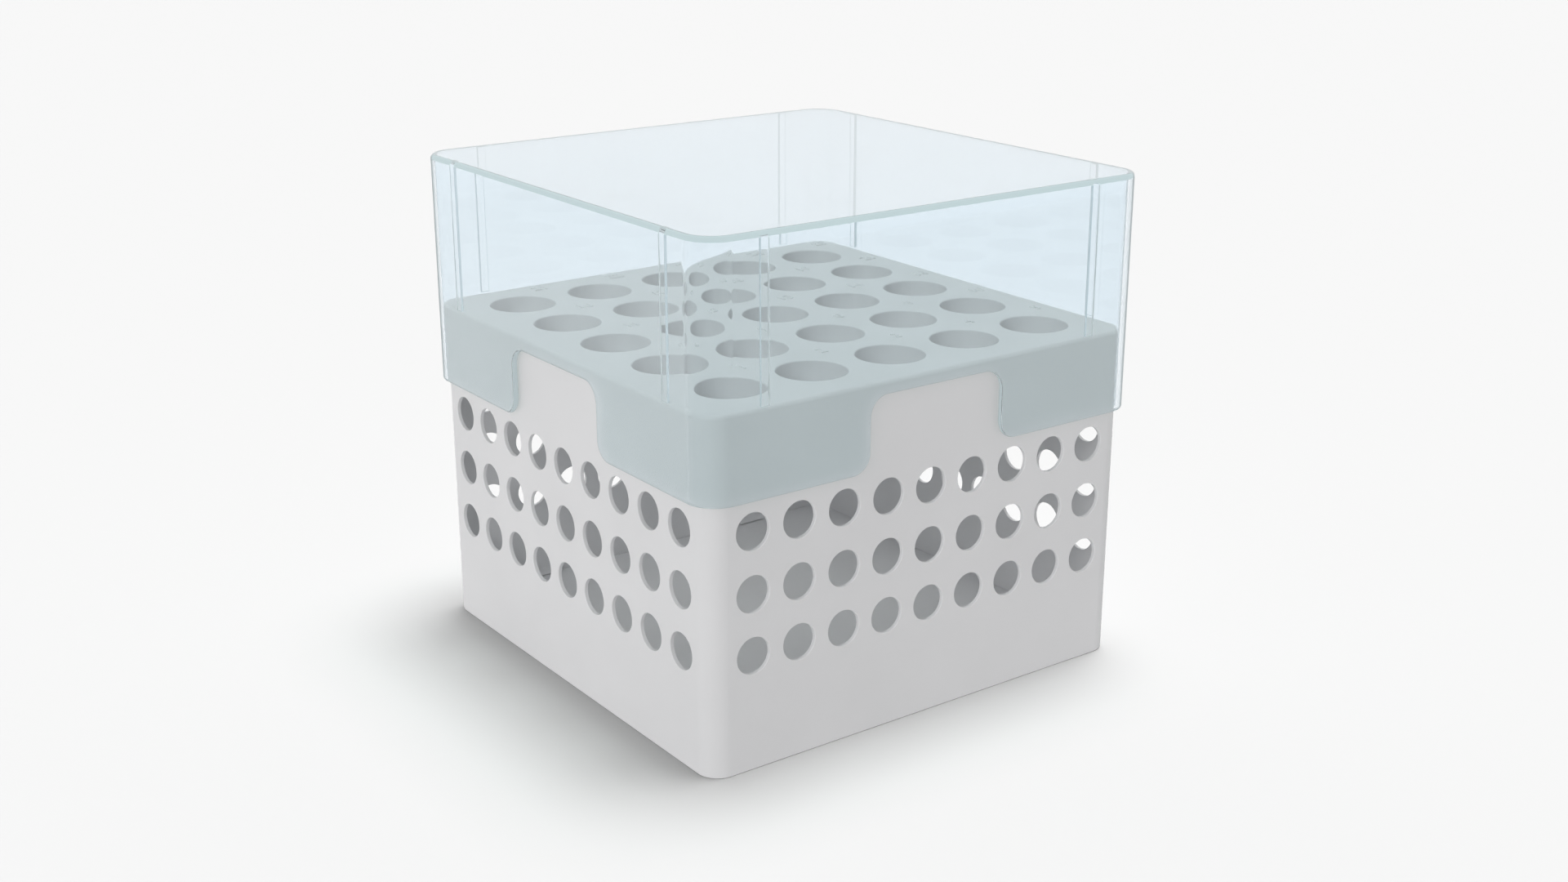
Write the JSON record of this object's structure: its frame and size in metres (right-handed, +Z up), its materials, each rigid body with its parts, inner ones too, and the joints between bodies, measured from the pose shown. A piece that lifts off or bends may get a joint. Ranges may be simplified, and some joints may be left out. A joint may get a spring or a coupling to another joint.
{
  "type": "cryogenic storage box",
  "caption": "Square cold-storage rack for conical tubes: vented shell with a perforated tube deck, snap-in floor plate and clear lift-off lid with finger notches.",
  "frame": {"origin": "centre of the box on the surface that it stands on", "axes": "+Z up, out of the lid; +X and +Y across the square footprint, whose four sides are alike"},
  "size_m": [0.133, 0.133, 0.1288],
  "materials": {
    "rack_shell": "satin moulded polypropylene, pale grey white",
    "floor_plate": "satin moulded polypropylene, pale grey white",
    "lid": "clear polycarbonate with a faint blue tint"
  },
  "bodies": {
    "rack": {"rack_shell": "rack_shell", "floor_plate": "floor_plate"},
    "lid": {"lid": "lid"}
  },
  "joints": [
    {"name": "lid_lift", "type": "slide", "parent": "rack", "child": "lid", "axis": [0, 0, 1], "range_m": [0, 0.06]}
  ]
}
